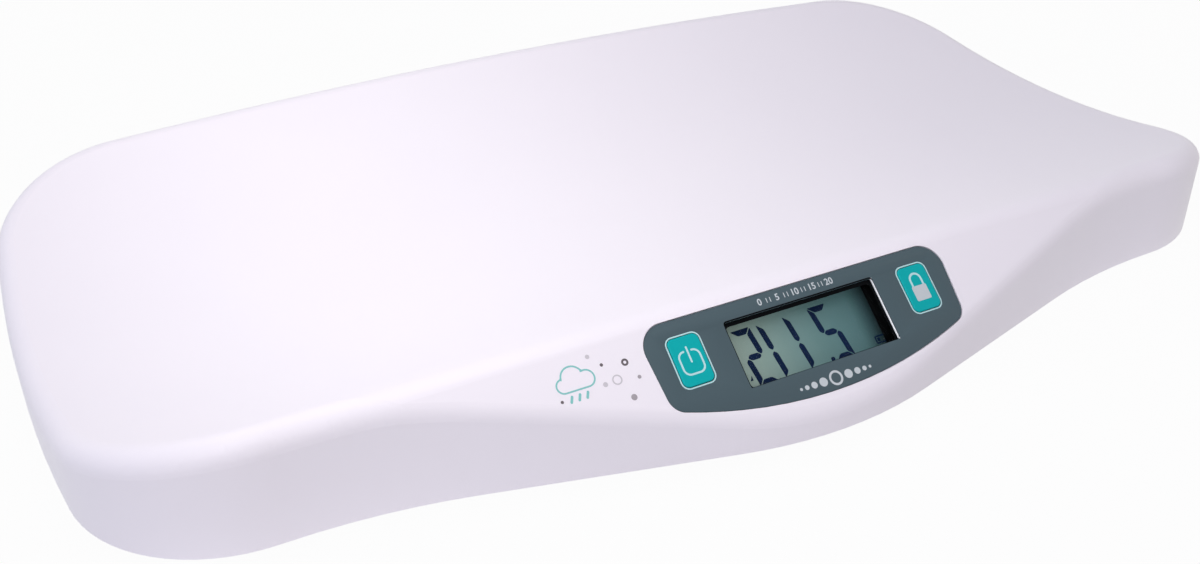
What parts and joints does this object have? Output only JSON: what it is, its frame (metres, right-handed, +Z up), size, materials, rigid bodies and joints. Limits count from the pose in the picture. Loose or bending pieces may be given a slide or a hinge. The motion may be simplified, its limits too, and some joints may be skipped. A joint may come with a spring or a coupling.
{
  "type": "digital baby weighing scale",
  "caption": "Low white weighing tray with a dished lying surface, a display lobe with LCD and keys on its front apron, load-cell feet and a battery bay below.",
  "frame": {"origin": "on the surface under the feet, at the middle of the tray's outline", "axes": "+X along the tray to the hold key's end, +Y from the display to the back, +Z up"},
  "size_m": [0.55, 0.32, 0.0555],
  "materials": {
    "tray_abs": "white moulded ABS with a satin-gloss skin",
    "base_abs": "white moulded ABS, lightly textured",
    "slate_panel": "slate grey printed sheet",
    "clear_window": "clear acrylic sheet",
    "shroud_black": "black moulded ABS",
    "lcd_cell": "LCD glass with polariser and reflector, grey-green",
    "elastomer": "striped conductive elastomer",
    "board_laminate": "green solder mask on glass-epoxy board",
    "chip_black": "black epoxy",
    "capacitor_can": "aluminium cans in a film",
    "resistor_ceramic": "thick-film chips",
    "key_teal": "teal moulded key, satin",
    "switch_case": "black switch housing",
    "plunger_brown": "brown switch plunger",
    "cell_steel": "stamped and plated spring steel",
    "gauge_film": "amber polyimide foil gauge",
    "clamp_steel": "zinc-plated steel strip",
    "screw_steel": "zinc-plated steel",
    "foot_abs": "white moulded ABS",
    "pad_rubber": "dark grey rubber",
    "clip_steel": "spring steel clip",
    "battery_jacket": "plain printed jacket on a steel can",
    "contact_nickel": "nickel-plated spring steel",
    "lead_white": "white PVC sheath",
    "lead_red": "red PVC sheath",
    "lead_black": "black PVC sheath",
    "label_paper": "silver-grey paper label"
  },
  "bodies": {
    "scale_body": {"amplifier_chip": "chip_black", "base_shell": "base_abs", "battery_1": "battery_jacket", "battery_2": "battery_jacket", "battery_3": "battery_jacket", "battery_4": "battery_jacket", "battery_contacts": "contact_nickel", "battery_lead_black": "lead_black", "battery_lead_red": "lead_red", "battery_springs": "contact_nickel", "board_capacitors": "capacitor_can", "board_resistors": "resistor_ceramic", "board_screws": "screw_steel", "case_screws": "screw_steel", "cell_clamps": "clamp_steel", "cell_lead_back_left": "lead_white", "cell_lead_back_right": "lead_white", "cell_lead_front_left": "lead_white", "cell_lead_front_right": "lead_white", "clamp_screws": "screw_steel", "controller_chip": "chip_black", "display_panel": "slate_panel", "display_shroud": "shroud_black", "display_window": "clear_window", "elastomer_strips": "elastomer", "hold_switch": "switch_case", "lcd_glass": "lcd_cell", "load_cell_back_left": "cell_steel", "load_cell_back_right": "cell_steel", "load_cell_front_left": "cell_steel", "load_cell_front_right": "cell_steel", "main_board": "board_laminate", "power_switch": "switch_case", "rating_label": "label_paper", "strain_gauges": "gauge_film", "tray_shell": "tray_abs", "unit_board": "board_laminate", "unit_board_screws": "screw_steel", "unit_lead": "lead_white", "unit_switch": "switch_case"},
    "power_key": {"power_key": "key_teal", "power_plunger": "plunger_brown"},
    "hold_key": {"hold_key": "key_teal", "hold_plunger": "plunger_brown"},
    "unit_key": {"unit_key": "base_abs", "unit_plunger": "plunger_brown"},
    "battery_door": {"battery_door": "base_abs"},
    "foot_front_left": {"foot_cup_front_left": "foot_abs", "foot_pad_front_left": "pad_rubber", "foot_clip_front_left": "clip_steel"},
    "foot_front_right": {"foot_cup_front_right": "foot_abs", "foot_pad_front_right": "pad_rubber", "foot_clip_front_right": "clip_steel"},
    "foot_back_left": {"foot_cup_back_left": "foot_abs", "foot_pad_back_left": "pad_rubber", "foot_clip_back_left": "clip_steel"},
    "foot_back_right": {"foot_cup_back_right": "foot_abs", "foot_pad_back_right": "pad_rubber", "foot_clip_back_right": "clip_steel"}
  },
  "joints": [
    {"name": "power_key_press", "type": "slide", "parent": "scale_body", "child": "power_key", "axis": [0, 0.6307, -0.776], "range_m": [0, 0.0005], "stiffness_N_per_m": 2000},
    {"name": "hold_key_press", "type": "slide", "parent": "scale_body", "child": "hold_key", "axis": [0, 0.6307, -0.776], "range_m": [0, 0.0005], "stiffness_N_per_m": 2000},
    {"name": "unit_key_press", "type": "slide", "parent": "scale_body", "child": "unit_key", "axis": [0, 0, 1], "range_m": [0, 0.0005], "stiffness_N_per_m": 2000},
    {"name": "battery_door_hinge", "type": "hinge", "parent": "scale_body", "child": "battery_door", "pos_m": [0, 0.044, 0.00925], "axis": [1, 0, 0], "range_deg": [0, 80]},
    {"name": "foot_front_left_drop", "type": "slide", "parent": "scale_body", "child": "foot_front_left", "axis": [0, 0, -1], "range_m": [0, 0.0004]},
    {"name": "foot_front_right_drop", "type": "slide", "parent": "scale_body", "child": "foot_front_right", "axis": [0, 0, -1], "range_m": [0, 0.0004]},
    {"name": "foot_back_left_drop", "type": "slide", "parent": "scale_body", "child": "foot_back_left", "axis": [0, 0, -1], "range_m": [0, 0.0004]},
    {"name": "foot_back_right_drop", "type": "slide", "parent": "scale_body", "child": "foot_back_right", "axis": [0, 0, -1], "range_m": [0, 0.0004]}
  ]
}
